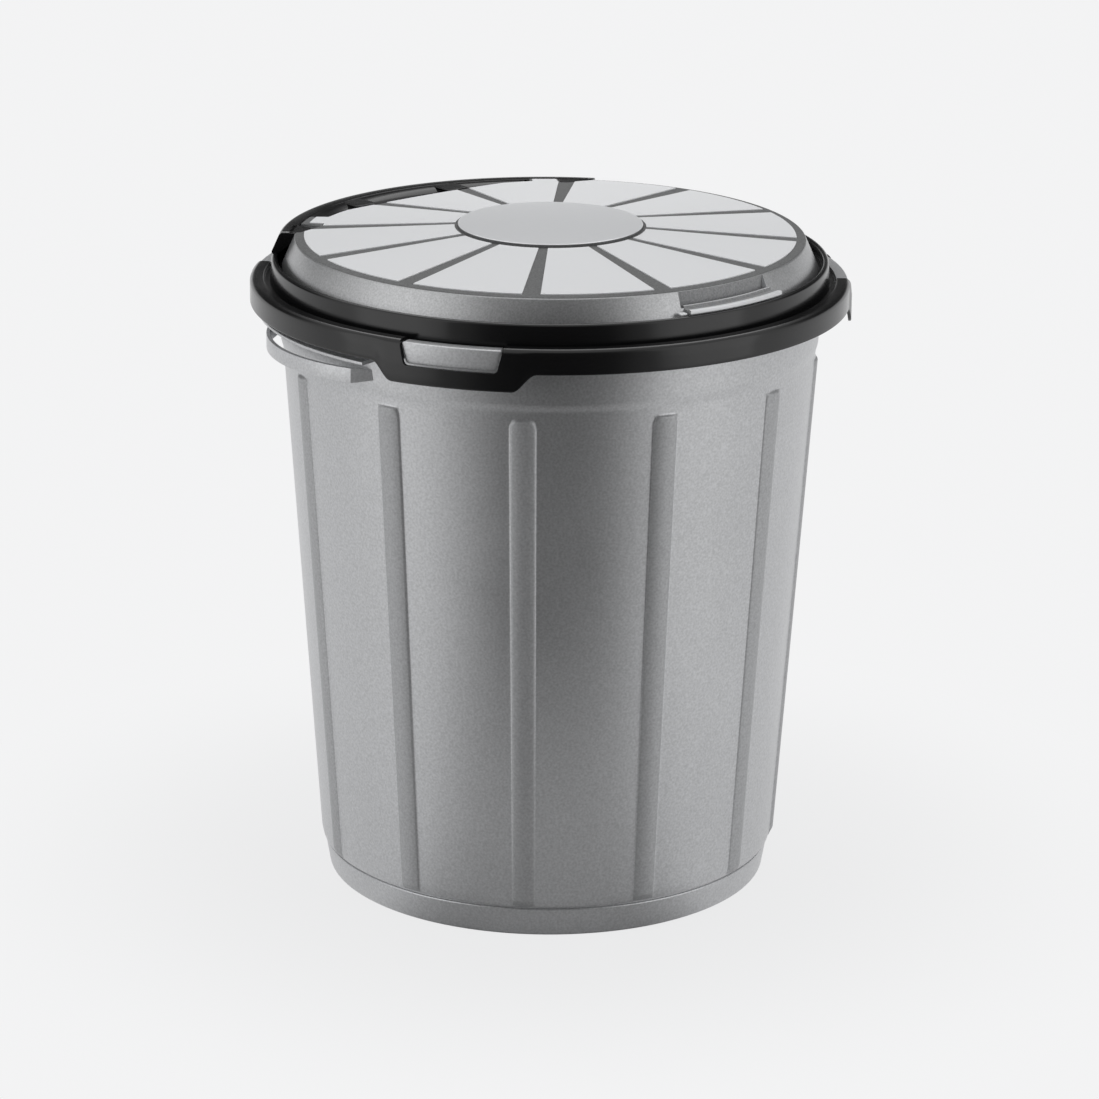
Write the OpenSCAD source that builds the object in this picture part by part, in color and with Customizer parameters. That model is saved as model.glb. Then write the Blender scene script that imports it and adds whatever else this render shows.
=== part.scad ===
// Round trash can: a tapered bucket with two loop grips, a snap-on rim ring
// with a hinge hood, and a shallow domed lid that swings up on two pins.
// Millimetres, +Z up. Origin at the middle of the foot, on the floor.
// The finger pull faces -Y and the hinge is at +Y.

/* [Bucket] */
// Outer radius of the foot where it meets the floor
foot_r = 157; // [130:1:175]
// Height of the foot, up to the groove round the bucket
foot_h = 21; // [12:1:40]
// How far the wall stands out from the foot's top
foot_step = 2.6; // [1:0.2:4]
// Outward lean of the foot over its height
foot_lean = 3.4; // [0:0.2:6]
// Outer radius of the wall just under the band
wall_top_r = 187.2; // [175:0.1:230]
// Height of the underside of the plain band
band_z = 386.3; // [250:0.1:520]
// How far the band stands out from the wall
band_out = 1.2; // [0:0.1:3]
// Height of the band, up to the rim
band_h = 42.9; // [38:0.1:90]
// Wall thickness of the bucket
wall_t = 2.2; // [1.6:0.1:4]
// Thickness of the bucket's floor
floor_t = 2.6; // [1.6:0.1:5]
// How far the floor is raised inside the foot
floor_rise = 3; // [1:0.5:8]
// Width of the flat annulus that the bucket stands on
foot_land = 5; // [3:0.5:12]

/* [Ribs] */
// Number of upright ribs round the wall
rib_count = 12; // [6:1:16]
// Width of a rib on the wall
rib_w = 16.5; // [8:0.5:24]
// Height of a rib above the wall
rib_h = 1.3; // [0.6:0.1:2.5]
// Height of a rib's lower end above the foot
rib_low_gap = 4; // [3:0.5:30]
// Clear wall between a rib's top and the band
rib_top_gap = 5.7; // [2:0.1:30]
// Corner radius of a rib's top
rib_corner = 3.5; // [1:0.5:5]

/* [Rim and lugs] */
// How far the hem stands out from the band
hem_out = 12.8; // [9:0.2:18]
// Height of the hem's turned-down lip
hem_drop = 8.6; // [5:0.2:14]
// Thickness of the hem
hem_t = 2.4; // [1.6:0.1:4]
// Angle of the two front lugs from the finger pull
lug_turn = 58; // [45:1:70]
// Angle of the two rear lugs from the finger pull
rear_lug_turn = 148; // [125:1:155]
// Width of a lug across its top
lug_w = 71; // [40:1:90]
// Height of a lug
lug_h = 15; // [8:0.5:20]
// How far a lug stands out from the hem
lug_out = 4.5; // [3:0.1:6]

/* [Grips] */
// Angle of the two grips from the finger pull, one to each side
grip_turn = 102; // [95:1:108]
// Length of a grip along the bucket, over its outer corners
grip_w = 133; // [100:1:150]
// How far a grip's band stands out from the bucket's band
grip_out = 18; // [14:0.5:26]
// Height of a grip's band
grip_h = 10.6; // [6:0.2:20]
// Thickness of a grip's band
grip_t = 2.8; // [2:0.1:5]
// Plan radius of a grip's bowed band
grip_bow = 114; // [90:1:160]
// Height of the grip's lower edge above the band's underside
grip_up = 7.7; // [4:0.1:20]
// How far each end of a grip runs back along the wall
grip_foot = 14; // [8:0.5:22]
// Drop from the ring's skirt to the thumb plate over a grip
plate_drop = 4.4; // [3.4:0.1:8]
// Thickness of the thumb plate
plate_t = 2.6; // [1.6:0.1:4]
// How far the thumb plate stands out from the bucket's band
plate_out = 14.5; // [8:0.5:16]

/* [Ring] */
// Radial gap between the hem and the skirt
skirt_gap = 3.4; // [1:0.1:6]
// Wall thickness of the skirt
skirt_t = 2.6; // [1.6:0.1:4]
// Height of the skirt below the shelf
skirt_h = 17.3; // [12:0.1:30]
// Radius of the rounded edge between skirt and shelf
edge_r = 4.5; // [2:0.1:6]
// Width of the shoulder, from the skirt to the moat
shoulder_w = 10.2; // [8:0.1:14]
// Width of the moat round the collar
moat_w = 4; // [2:0.1:8]
// Depth of the moat
moat_d = 3.5; // [1:0.1:6]
// Thickness of the moat's floor
moat_t = 2.3; // [1.6:0.1:4]
// Height of the collar above the shelf
collar_h = 13.4; // [8:0.1:24]
// Inward lean of the collar over its height
collar_lean = 1; // [0:0.1:3]
// Thickness of the collar
collar_t = 4.4; // [3:0.1:7]
// Depth of the ledge below the top of the collar
ledge_drop = 7.2; // [4:0.1:12]
// Thickness of the ledge and of the skirt inside the bucket
ledge_t = 2.2; // [1.6:0.1:4]
// Length of the inner skirt below the rim
plug_h = 15; // [6:0.5:30]
// Radial gap between the inner skirt and the bucket
plug_gap = 1.2; // [0.5:0.1:3]

/* [Ring tabs] */
// Drop of a tab below the skirt
tab_drop = 12; // [8:0.5:20]
// How far a tab stands out from the skirt
tab_out = 1.5; // [1.2:0.1:3]
// Width of a tab where it leaves the skirt
tab_w = 116; // [100:1:130]
// Width of a tab along its lower edge
tab_low_w = 81; // [76:1:95]
// Running gap between a lug and its window
lug_gap = 0.4; // [0.3:0.1:1]

/* [Hinge hood] */
// Half angle of the hood about the hinge side
hood_half = 49.7; // [44:0.1:55]
// Height of the hood above the collar
hood_h = 13.2; // [11:0.1:20]
// Inward lean of the hood's outer wall
hood_lean = 5.8; // [2:0.1:8]
// Wall thickness of the hood
hood_t = 2.4; // [1.8:0.1:4]
// Reach of the rear deck under the lid's rear edge
deck_under = 5; // [4:0.5:12]
// Half angle of the rounded cover inside the hood
roll_half = 33.5; // [26:0.1:36]
// Radius of the rounded cover
roll_r = 14; // [10:0.1:14]
// Inward reach of the two claws from the hood's inner edge
claw_reach = 16.5; // [8:0.5:18]
// Angle of a claw's tip from the hinge side
claw_turn = 43; // [41:0.1:45]

/* [Hinge] */
// Distance of each hinge pin's middle from the centre plane
pin_side = 42; // [34:0.5:50]
// Distance of the hinge axis behind the lid's rear edge
pin_back = 11; // [9:0.5:14]
// Depth of the hinge axis below the top of the hood
pin_drop = 5.8; // [5.8:0.1:7]
// Diameter of a hinge pin
pin_d = 3; // [2:0.1:4]
// Radial clearance of a pin in its bores
pin_gap = 0.05; // [0.02:0.01:0.1]
// Width of a bracket along the axis
bracket_w = 18; // [14:0.5:24]
// Thickness of a bracket's cheeks
cheek_t = 3; // [2:0.1:5]
// Outer diameter of the lid's knuckles
knuckle_d = 6; // [5:0.1:6]
// Gap between a knuckle and the cheeks beside it
knuckle_gap = 0.4; // [0.3:0.1:1]
// Diameter and thickness of a pin's head
head_d = 5.2; // [4:0.1:7]
head_t = 1.4; // [0.8:0.1:3]

/* [Lid] */
// Gap between the lid's lower edge and the collar
lid_gap = 2.8; // [1.5:0.1:5]
// Gap under the lid's edge, over the ledge
seat_gap = 0.3; // [0.3:0.1:1]
// Inward lean of the lid's side wall
lid_lean = 9.5; // [5:0.1:14]
// Height of the lid's side wall
lid_h = 21; // [17:0.1:30]
// Rise of the lid from its rim to the centre disc
dome_h = 6.1; // [2:0.1:20]
// Wall thickness of the lid
lid_t = 2.2; // [1.6:0.1:4]
// Radius of the raised centre disc
disc_r = 64.8; // [40:0.2:90]
// Height of the disc's edge above the lid
disc_h = 2.6; // [1:0.1:5]
// Crown of the disc above its edge
disc_crown = 1.8; // [0.5:0.1:5]
// Width of the plain rim outside the wedge panels
rim_w = 8; // [4:0.5:14]
// Width of the ring groove round the disc
ring_groove_w = 2; // [1:0.1:4]
// Height of the wedge panels above the grooves
panel_h = 0.7; // [0.4:0.1:1.5]
// Width of a radial groove at the disc
groove_in_w = 6.2; // [3:0.1:10]
// Width of a radial groove at the rim
groove_out_w = 12.8; // [6:0.1:20]
// Depth of the hinge bay, from the lid's round rim to its straight rear edge
bay_depth = 35.2; // [32:0.1:40]

/* [Finger pull] */
// Half angle of the finger pull
pull_half = 12.5; // [8:0.5:18]
// Depth of the pull's ledge below the lid's rim
pull_drop = 11; // [8:0.1:12]
// Thickness of the pull's ledge
pull_t = 2.2; // [1.6:0.1:3]
// How far the ledge reaches over the collar
pull_over = 2.3; // [1:0.1:4]

/* [Hidden] */
$fn = 96;
silver = [0.62, 0.63, 0.64];
black = [0.07, 0.07, 0.08];
dark = [0.12, 0.12, 0.13];
far = 600;

// Bucket: radii of the wall, the band and the inside at a height
foot_top_r = foot_r + foot_lean;
wall_low_r = foot_top_r + foot_step;
wall_low_z = foot_h + 7;
slope = (wall_top_r - wall_low_r) / (band_z - wall_low_z);
wall_lean = atan(slope);
function wall_r(z) = wall_low_r + (z - wall_low_z) * slope;
function band_r(z) = wall_r(z) + band_out;
rim_z = band_z + band_h;
hem_r = band_r(rim_z) + hem_out;
floor_z = floor_rise + floor_t;

// Ribs
rib_turn = 180 / rib_count;
rib_round = (rib_w * rib_w / 4 + rib_h * rib_h) / (2 * rib_h);
rib_low_z = foot_h + rib_low_gap;
rib_high_z = band_z - rib_top_gap;

// Ring: radii and heights, from the hem outwards and upwards
skirt_in_r = hem_r + skirt_gap;
ring_r = skirt_in_r + skirt_t;
moat_z = rim_z + seat_gap + moat_t;
shelf_z = moat_z + moat_d;
skirt_z = shelf_z - skirt_h;
moat_r = ring_r - shoulder_w;
collar_foot_r = moat_r - moat_w;
collar_r = collar_foot_r - collar_lean;
collar_in_r = collar_r - collar_t;
collar_z = shelf_z + collar_h;
ledge_z = collar_z - ledge_drop;
plug_z = rim_z - plug_h;
plug_r = band_r(plug_z) - wall_t - plug_gap;
mouth_r = plug_r - ledge_t;

// Tabs, windows and lugs
LUG_TURNS = [lug_turn, -lug_turn, rear_lug_turn, -rear_lug_turn];
lug_r = hem_r + lug_out;
tab_in_r = lug_r + lug_gap;
tab_r = ring_r + tab_out;
tab_z = skirt_z - tab_drop;
lug_low_w = lug_w - 7;
lug_in_r = hem_r - hem_t - 1.2;
window_in_r = moat_r - 0.75;
lug_z = skirt_z + 0.8;

// Hood
hood_z = collar_z + hood_h;
hood_r = collar_r - hood_lean;
lid_low_r = collar_in_r - lid_gap;
lid_rim_r = lid_low_r - lid_lean;
hood_in_r = lid_rim_r + 1.5;
hood_low_z = collar_z - 4;

roll_first = 84;
roll_last = 180;
roll_in_r = hood_in_r - roll_r;
roll_gap = 1.3;
claw_gap = 1;

// Room for the lid's lower walls as they swing past the hood
swing_gap = 3.6;

// Lid
lid_low_z = ledge_z + seat_gap;
lid_rim_z = lid_low_z + lid_h;
swing_z = lid_rim_z - 10.8;
disc_z = lid_rim_z + dome_h;
function lid_z(r) = lid_rim_z + (lid_rim_r - r) * dome_h / (lid_rim_r - disc_r);
panel_r = lid_rim_r - rim_w;
GROOVES = 12;

// Hinge axis, behind the lid's rear edge
rear_edge = lid_rim_r - bay_depth;
axis_y = rear_edge + pin_back;
axis_z = hood_z - pin_drop;
knuckle_w = bracket_w - 2 * cheek_t - 2 * knuckle_gap;
tab_front_y = axis_y + 1.8;
arm_low = knuckle_d * 0.43;
arm_high = knuckle_d * 0.07;
eye_d = knuckle_d + 0.6;

// Grips
grip_z = band_z + grip_up;
plate_z = skirt_z - plate_drop - plate_t;
grip_r = band_r(grip_z) + grip_out;
grip_mid = grip_r - grip_bow;
grip_sweep = asin(grip_w / 2 / grip_bow);
grip_end_x = grip_w / 2 + grip_foot;
grip_end_y = sqrt(pow(band_r(grip_z) - wall_t, 2) - pow(grip_end_x, 2)) - 1;

// A part ring of the child profile, centred on an angle from the front
module sector(turn, half) {
    rotate([0, 0, turn - 90 - half])
        rotate_extrude(angle = 2 * half)
            children();
}

// A slab of a plan outline between two heights
module slab(low, high) {
    translate([0, 0, low])
        linear_extrude(height = high - low)
            children();
}

// A prism through the ring wall, drawn as seen from the front
module front_prism(points, turn, r1, r2) {
    rotate([0, 0, turn])
        intersection() {
            rotate([90, 0, 0])
                linear_extrude(height = far)
                    polygon(points);
            difference() {
                translate([0, 0, tab_z - 5])
                    cylinder(r = r2, h = far, $fn = 192);
                translate([0, 0, tab_z - 6])
                    cylinder(r = r1, h = far + 2, $fn = 192);
            }
        }
}

function polar(r, a) = [r * sin(a), r * cos(a)];

// Points of an arc in section from one angle to another
function arc(mid, r, first, last) = [
    for (i = [0:12])
        let (a = first + (last - first) * i / 12)
            mid + r * [cos(a), sin(a)]
];

// Bucket: outside as a solid of revolution
module bucket_outside() {
    hem_low = rim_z - hem_t;
    rotate_extrude($fn = 192)
        polygon([
            [0, floor_rise],
            [foot_r - foot_land, floor_rise],
            [foot_r - foot_land, 0],
            [foot_r, 0],
            [foot_r + 0.62 * foot_lean, 2.4],
            [foot_top_r, foot_h - 1.2],
            [foot_top_r - 1, foot_h],
            [foot_top_r - 1, foot_h + 1.2],
            [wall_low_r - 1.6, foot_h + 1.8],
            [wall_low_r - 0.4, foot_h + 4],
            [wall_low_r, wall_low_z],
            [wall_top_r, band_z],
            [band_r(band_z + 1.5), band_z + 1.5],
            [band_r(hem_low), hem_low],
            [hem_r - hem_t, hem_low],
            [hem_r - hem_t, rim_z - hem_drop],
            [hem_r, rim_z - hem_drop],
            [hem_r, rim_z - 0.8],
            [hem_r - 0.8, rim_z],
            [0, rim_z]
        ]);
}

// Bucket: the space inside it
module bucket_inside() {
    low_z = floor_z + 4;
    rotate_extrude($fn = 192)
        polygon([
            [0, floor_z],
            [foot_top_r - wall_t - 5, floor_z],
            [foot_top_r - wall_t - 1.2, low_z],
            [wall_low_r - wall_t - 1, wall_low_z],
            [wall_top_r - wall_t, band_z],
            [band_r(band_z + 1.5) - wall_t, band_z + 1.5],
            [band_r(rim_z) - wall_t, rim_z + 1],
            [0, rim_z + 1]
        ]);
}

// One upright rib, a long shallow barrel that follows the wall, square at its ends
module rib() {
    sink = (rib_round - rib_h) / cos(wall_lean);
    half = rib_w / 2 + 1;
    side = half - rib_corner;
    intersection() {
        translate([0, sink - wall_r(rib_low_z - 10), rib_low_z - 10])
            rotate([wall_lean, 0, 0])
                cylinder(r = rib_round, h = (rib_high_z - rib_low_z + 20) / cos(wall_lean));
        union() {
            translate([-half, -wall_top_r - 20, rib_low_z])
                cube([2 * half, 60, rib_high_z - rib_corner - rib_low_z]);
            translate([-side, -wall_top_r - 20, rib_high_z - rib_corner - 1])
                cube([2 * side, 60, rib_corner + 1]);
            for (x = [-side, side])
                translate([x, -wall_top_r - 20, rib_high_z - rib_corner])
                    rotate([-90, 0, 0])
                        cylinder(r = rib_corner, h = 60, $fn = 32);
        }
    }
}

// One lug on the hem, which fills a window of the ring
module lug() {
    front_prism([
        [-lug_low_w / 2 + lug_gap, lug_z + lug_gap],
        [lug_low_w / 2 - lug_gap, lug_z + lug_gap],
        [lug_w / 2 - lug_gap, lug_z + lug_h],
        [-lug_w / 2 + lug_gap, lug_z + lug_h]
    ], 0, lug_in_r, lug_r);
}

// Plan of a grip: a bowed band whose ends run back to the wall
function grip_plan(inset) = let (
    bow = grip_bow - inset,
    sweep = grip_sweep - inset / 2
) concat(
    [[-grip_end_x + inset, grip_end_y]],
    [for (i = [-8:8]) [bow * sin(sweep * i / 8), grip_mid + bow * cos(sweep * i / 8)]],
    [[grip_end_x - inset, grip_end_y]]
);

// One grip, drawn on the rear side, with the thumb plate above it
module grip() {
    low = grip_z;
    high = grip_z + grip_h;
    difference() {
        slab(low, high)
            polygon(grip_plan(0));
        slab(low - 1, high + 1)
            polygon(grip_plan(grip_t));
    }
    plate_half = grip_sweep * grip_bow / grip_r + 5;
    sector(180, plate_half)
        translate([wall_top_r - 1, plate_z])
            square([band_r(plate_z) - wall_top_r + 1 + plate_out, plate_t]);
}

module bucket() {
    color(silver)
        difference() {
            union() {
                bucket_outside();
                for (i = [0:rib_count - 1])
                    rotate([0, 0, rib_turn + i * 360 / rib_count])
                        rib();
                for (turn = LUG_TURNS)
                    rotate([0, 0, turn])
                        lug();
                for (turn = [-grip_turn, grip_turn])
                    rotate([0, 0, turn + 180])
                        grip();
            }
            bucket_inside();
        }
}

// Ring: section from the skirt over the shelf and collar to the inner skirt
module ring_section() {
    steps = 6;
    under_z = rim_z + seat_gap;
    polygon(concat(
        [[skirt_in_r, skirt_z], [ring_r, skirt_z]],
        [for (i = [0:steps]) let (a = 90 * i / steps)
            [ring_r - edge_r + edge_r * cos(a), shelf_z - edge_r + edge_r * sin(a)]],
        [
            [moat_r + 1, shelf_z],
            [moat_r, shelf_z - 1],
            [moat_r - 0.4, moat_z],
            [collar_foot_r, moat_z],
            [collar_foot_r - 0.2, moat_z + 2],
            [collar_r, collar_z - 3],
            [collar_r - 0.9, collar_z - 0.9],
            [collar_r - 3, collar_z],
            [collar_in_r + 0.4, collar_z - 0.6],
            [collar_in_r, collar_z - 2],
            [collar_in_r, ledge_z],
            [mouth_r, ledge_z],
            [mouth_r, plug_z],
            [plug_r, plug_z],
            [plug_r, ledge_z - ledge_t],
            [collar_in_r + 2, ledge_z - ledge_t],
            [collar_foot_r - moat_t - 0.6, under_z],
            [moat_r + 1.6, under_z],
            [moat_r + 2.4, shelf_z - moat_t],
            [skirt_in_r - 1.8, shelf_z - moat_t],
            [skirt_in_r, shelf_z - edge_r]
        ]
    ));
}

// One tab below the skirt, solid: its window is cut after
module ring_tab() {
    merge_z = shelf_z - edge_r - 0.6;
    side = tab_w / 2;
    low = tab_low_w / 2;
    front_prism([
        [-low, tab_z],
        [low, tab_z],
        [low + 4.5, tab_z + 1.4],
        [low + 7.5, tab_z + 5],
        [side - 5.5, skirt_z - 3],
        [side, skirt_z],
        [side, merge_z - 1.2],
        [side - 1.2, merge_z],
        [-side + 1.2, merge_z],
        [-side, merge_z - 1.2],
        [-side, skirt_z],
        [-side + 5.5, skirt_z - 3],
        [-low - 7.5, tab_z + 5],
        [-low - 4.5, tab_z + 1.4]
    ], 0, tab_in_r, tab_r);
}

// The window that a lug fills, open through the ring's shoulder
module window() {
    low = lug_low_w / 2;
    top = lug_w / 2;
    open_z = shelf_z + 2;
    lean = (top - low) / lug_h;
    front_prism([
        [-low, lug_z],
        [low, lug_z],
        [top + lean * (open_z - lug_z - lug_h), open_z],
        [-top - lean * (open_z - lug_z - lug_h), open_z]
    ], 0, window_in_r, tab_r + 5);
    front_prism([
        [-top - 0.5, tab_z - 2],
        [top + 0.5, tab_z - 2],
        [top + 0.5, open_z - moat_t - 2],
        [-top - 0.5, open_z - moat_t - 2]
    ], 0, hem_r - 0.5, tab_in_r);
}

// Hood: outer wall, flat band and closed ends, hollow below
module hood_shell() {
    low_z = hood_low_z - 1;
    wall_in_r = collar_r - hood_t - 0.6;
    difference() {
        sector(180, hood_half)
            polygon([
                [collar_in_r + 1.2, low_z],
                [collar_r - 1.5, low_z],
                [collar_r + 0.3, hood_low_z + 0.5],
                [collar_r + 0.3, collar_z - 2],
                [hood_r + 0.8, hood_z - 1.4],
                [hood_r - 0.6, hood_z],
                [hood_in_r, hood_z],
                [hood_in_r, hood_z - 6]
            ]);
        sector(180, hood_half - 1.2)
            polygon([
                [hood_in_r - 10, collar_z - 1.5],
                [wall_in_r, collar_z - 1.5],
                [hood_r - hood_t, hood_z - hood_t],
                [hood_in_r - 10, hood_z - hood_t]
            ]);
    }
}

// Hood: the rounded cover over the hinge, bowed down inwards
module hood_roll() {
    mid = [hood_in_r, hood_z - roll_r - 0.3];
    difference() {
        sector(180, roll_half)
            polygon(concat(
                arc(mid, roll_r, roll_first, roll_last),
                [[mid[0] + 1.4, mid[1]]]
            ));
        sector(180, roll_half - 1)
            polygon(concat(
                arc(mid, roll_r - hood_t, roll_first, roll_last),
                [
                    [mid[0] - roll_r + hood_t, mid[1] - 2],
                    [mid[0] + 4, mid[1] - 2],
                    [mid[0] + 4, mid[1] + roll_r - hood_t]
                ]
            ));
    }
}

// Deck behind the lid's straight rear edge and under its claw recesses
module rear_deck() {
    wing_r = hood_in_r - claw_reach - claw_gap - swing_gap - lid_t - 1.5;
    sector(180, hood_half + 3)
        translate([wing_r, ledge_z - ledge_t])
            square([mouth_r + 1.6 - wing_r, ledge_t]);
    intersection() {
        translate([0, 0, ledge_z - ledge_t])
            cylinder(r = mouth_r + 1, h = ledge_t, $fn = 192);
        translate([-far / 2, rear_edge - deck_under, ledge_z - ledge_t - 1])
            cube([far, far, ledge_t + 2]);
    }
}

// Plan of a claw, grown by a clearance, on the +X side of the hinge
function claw_plan(grow) = [
    polar(hood_in_r + 4, hood_half - 0.6),
    polar(hood_in_r - 4 - grow, hood_half + grow / 3),
    polar(hood_in_r - claw_reach - grow, claw_turn + 1 + grow / 3),
    polar(hood_in_r - claw_reach - grow, claw_turn - 0.5 - grow / 3),
    polar(hood_in_r - 4, claw_turn - 1.4 - grow / 3),
    polar(hood_in_r + 4, claw_turn - 1.4 - grow / 3)
];

module claws(grow, low, high) {
    for (side = [0, 1])
        mirror([side, 0, 0])
            slab(low, high)
                polygon(claw_plan(grow));
}

// A bracket: two cheeks and a top plate that stops the open lid
module bracket() {
    back_y = hood_in_r * cos(asin((pin_side + bracket_w / 2) / hood_in_r)) + 1;
    leg_low = knuckle_d * 0.5;
    for (side = [-1, 1])
        translate([pin_side + side * (bracket_w - cheek_t) / 2 - cheek_t / 2, 0, 0])
            difference() {
                union() {
                    translate([0, axis_y, axis_z])
                        rotate([0, 90, 0])
                            cylinder(d = eye_d, h = cheek_t);
                    translate([0, axis_y + 0.5, axis_z - leg_low])
                        cube([cheek_t, back_y - axis_y - 0.5, leg_low + 0.8]);
                    translate([0, tab_front_y, axis_z - leg_low])
                        cube([cheek_t, back_y - tab_front_y, pin_drop + leg_low]);
                }
                translate([-1, axis_y, axis_z])
                    rotate([0, 90, 0])
                        cylinder(d = pin_d + 2 * pin_gap, h = cheek_t + 2);
            }
    translate([pin_side - bracket_w / 2, tab_front_y, hood_z - hood_t])
        cube([bracket_w, back_y - tab_front_y, hood_t]);
}

module rim_ring() {
    color(black) {
        difference() {
            union() {
                rotate_extrude($fn = 192)
                    ring_section();
                for (turn = LUG_TURNS)
                    rotate([0, 0, turn])
                        ring_tab();
            }
            for (turn = LUG_TURNS)
                rotate([0, 0, turn])
                    window();
        }
        rear_deck();
        hood_shell();
        hood_roll();
        claws(0, hood_z - hood_t, hood_z);
        bracket();
        mirror([1, 0, 0])
            bracket();
    }
}

// Outline of a part of the lid in section, set in by a thickness
module lid_section(inset) {
    slant = inset * 1.1;
    polygon([
        [0, lid_low_z - (inset > 0 ? 1 : 0)],
        [lid_low_r - slant, lid_low_z - (inset > 0 ? 1 : 0)],
        [lid_rim_r - slant + 0.4, lid_rim_z - 1.2 - inset],
        [lid_rim_r - 1 - slant, lid_rim_z - inset],
        [disc_r, disc_z - inset],
        [0, disc_z - inset]
    ]);
}

// Spaces at the rear edge and at the pull that the lid leaves free
module lid_cuts(inset) {
    low = lid_low_z - 2;
    high = disc_z + 5;
    bay_in = rear_edge - inset;
    side_a = roll_half + 1;
    side_b = side_a + inset / 2.8;
    corner = polar(roll_in_r - roll_gap - 4.4, roll_half - 3.5);
    nook = polar(roll_in_r - roll_gap - inset, side_b);
    flat_end = roll_in_r * sin(roll_half - 8.5);
    sector(180, hood_half + 0.6 + inset / 3)
        polygon([
            [lid_rim_r - inset - swing_gap, low],
            [lid_low_r + 40, low],
            [lid_low_r + 40, high],
            [lid_rim_r - inset, high],
            [lid_rim_r - inset, lid_rim_z]
        ]);
    slab(low, high)
        polygon([
            [0, bay_in],
            [flat_end + inset / 3, bay_in],
            [corner[0] + inset / 2, corner[1] - inset],
            nook,
            polar(hood_in_r - 6, side_b),
            polar(hood_in_r + 12, side_b),
            [0, hood_in_r + 12],
            [-polar(hood_in_r + 12, side_b)[0], polar(hood_in_r + 12, side_b)[1]],
            [-polar(hood_in_r - 6, side_b)[0], polar(hood_in_r - 6, side_b)[1]],
            [-nook[0], nook[1]],
            [-corner[0] - inset / 2, corner[1] - inset],
            [-flat_end - inset / 3, bay_in]
        ]);
    claws(claw_gap + inset, low, high);
    claws(claw_gap + swing_gap + inset, low, swing_z + inset);
    sector(0, pull_half + inset / 3)
        translate([lid_rim_r + 0.2 - inset, lid_rim_z - pull_drop - (inset > 0 ? pull_t : 0)])
            square([40, 40]);
}

// The radial grooves, tapered from the disc to the rim
module lid_grooves() {
    for (i = [0:GROOVES - 1])
        rotate([0, 0, 180 / GROOVES + i * 360 / GROOVES])
            slab(lid_low_z, disc_z + 10)
                polygon([
                    [-groove_in_w / 2, disc_r - 1],
                    [groove_in_w / 2, disc_r - 1],
                    [groove_out_w / 2, lid_rim_r + 1],
                    [-groove_out_w / 2, lid_rim_r + 1]
                ]);
}

// The raised wedge panels between the grooves
module lid_panels() {
    inner = disc_r + ring_groove_w;
    difference() {
        rotate_extrude($fn = 192)
            polygon([
                [inner, lid_z(inner) - 0.5],
                [panel_r, lid_z(panel_r) - 0.5],
                [panel_r, lid_z(panel_r) + panel_h],
                [inner, lid_z(inner) + panel_h]
            ]);
        lid_grooves();
        lid_cuts(0);
    }
}

// The raised centre disc with a shallow crown
module lid_disc() {
    crown_r = (disc_r * disc_r + disc_crown * disc_crown) / (2 * disc_crown);
    edge_z = disc_z + disc_h;
    translate([0, 0, disc_z - lid_t])
        cylinder(r = disc_r, h = lid_t + disc_h, $fn = 192);
    intersection() {
        translate([0, 0, edge_z + disc_crown - crown_r])
            sphere(r = crown_r, $fn = 192);
        translate([0, 0, edge_z - 0.5])
            cylinder(r = disc_r, h = disc_crown + 2, $fn = 192);
    }
}

// One knuckle on an arm behind the lid's rear edge
module knuckle() {
    translate([pin_side - knuckle_w / 2, 0, 0])
        difference() {
            union() {
                translate([0, axis_y, axis_z])
                    rotate([0, 90, 0])
                        cylinder(d = knuckle_d, h = knuckle_w);
                translate([0, rear_edge - lid_t / 2, axis_z - arm_low])
                    cube([knuckle_w, pin_back + lid_t / 2, arm_low - arm_high]);
            }
            translate([-1, axis_y, axis_z])
                rotate([0, 90, 0])
                    cylinder(d = pin_d + 2 * pin_gap, h = knuckle_w + 2);
        }
}

module lid() {
    color(silver) {
        difference() {
            rotate_extrude($fn = 192)
                lid_section(0);
            lid_cuts(0);
            difference() {
                rotate_extrude($fn = 192)
                    lid_section(lid_t);
                lid_cuts(lid_t);
            }
        }
        lid_panels();
        lid_disc();
        sector(0, pull_half)
            translate([lid_rim_r - lid_t + 0.2, lid_rim_z - pull_drop - pull_t])
                square([collar_in_r + pull_over - lid_rim_r + lid_t - 0.2, pull_t]);
        knuckle();
        mirror([1, 0, 0])
            knuckle();
    }
}

// Two headed pins, set from the outer side of each bracket
module hinge_pins() {
    outer_x = pin_side + bracket_w / 2;
    color(dark)
        for (side = [0, 1])
            mirror([side, 0, 0])
                translate([outer_x, axis_y, axis_z])
                    rotate([0, 90, 0]) {
                        cylinder(d = head_d, h = head_t);
                        translate([0, 0, -bracket_w])
                            cylinder(d = pin_d, h = bracket_w);
                    }
}

bucket();
rim_ring();
lid();
hinge_pins();
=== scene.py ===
import bpy
import bmesh
from math import sin, cos, tan, asin, acos, atan2, radians, degrees, hypot
from mathutils import Vector, Matrix


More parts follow.
